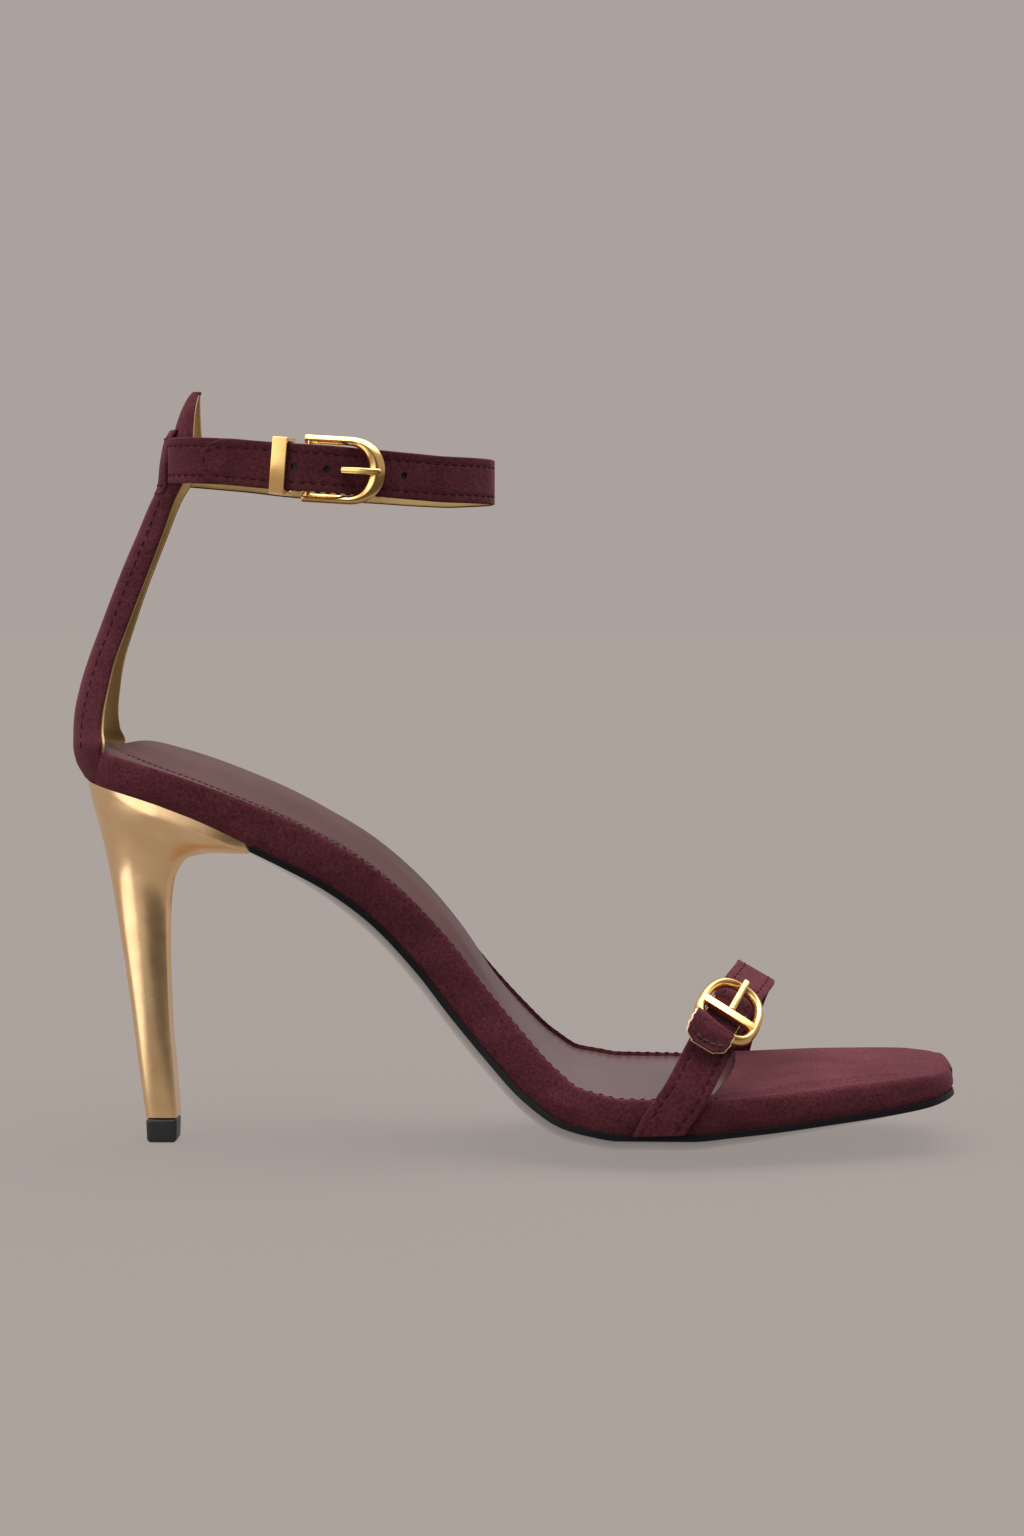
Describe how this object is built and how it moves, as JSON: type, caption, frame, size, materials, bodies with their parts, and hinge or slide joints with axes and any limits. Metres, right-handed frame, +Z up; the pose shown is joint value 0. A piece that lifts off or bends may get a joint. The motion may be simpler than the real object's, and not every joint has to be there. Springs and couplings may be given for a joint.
{
  "type": "ankle strap sandal",
  "caption": "High-heeled sandal with a buckled ankle strap on a heel stay, a buckled toe strap, a padded footbed and a square toe.",
  "frame": {"origin": "centre of the heel tip's underside, on the floor", "axes": "+X to the toe, +Y to the medial side, +Z up from the floor"},
  "size_m": [0.2203, 0.0794, 0.1883],
  "materials": {
    "suede": "dark burgundy suede with a short nap",
    "sock_leather": "smooth burgundy lining leather, padded",
    "outsole_black": "gloss black edge and tread",
    "tip_rubber": "matte black",
    "heel_gold": "satin gold plating over moulded plastic",
    "buckle_gold": "polished gold plating"
  },
  "bodies": {
    "root": {"platform": "suede", "outsole": "outsole_black", "footbed": "sock_leather", "heel": "heel_gold", "top_piece": "tip_rubber", "ankle_upper": "suede", "ankle_buckle_frame": "buckle_gold", "ankle_prong": "buckle_gold", "ankle_keeper": "buckle_gold", "toe_strap": "suede", "toe_strap_end": "suede", "toe_buckle_frame": "buckle_gold", "toe_prong": "buckle_gold"}
  },
  "joints": []
}
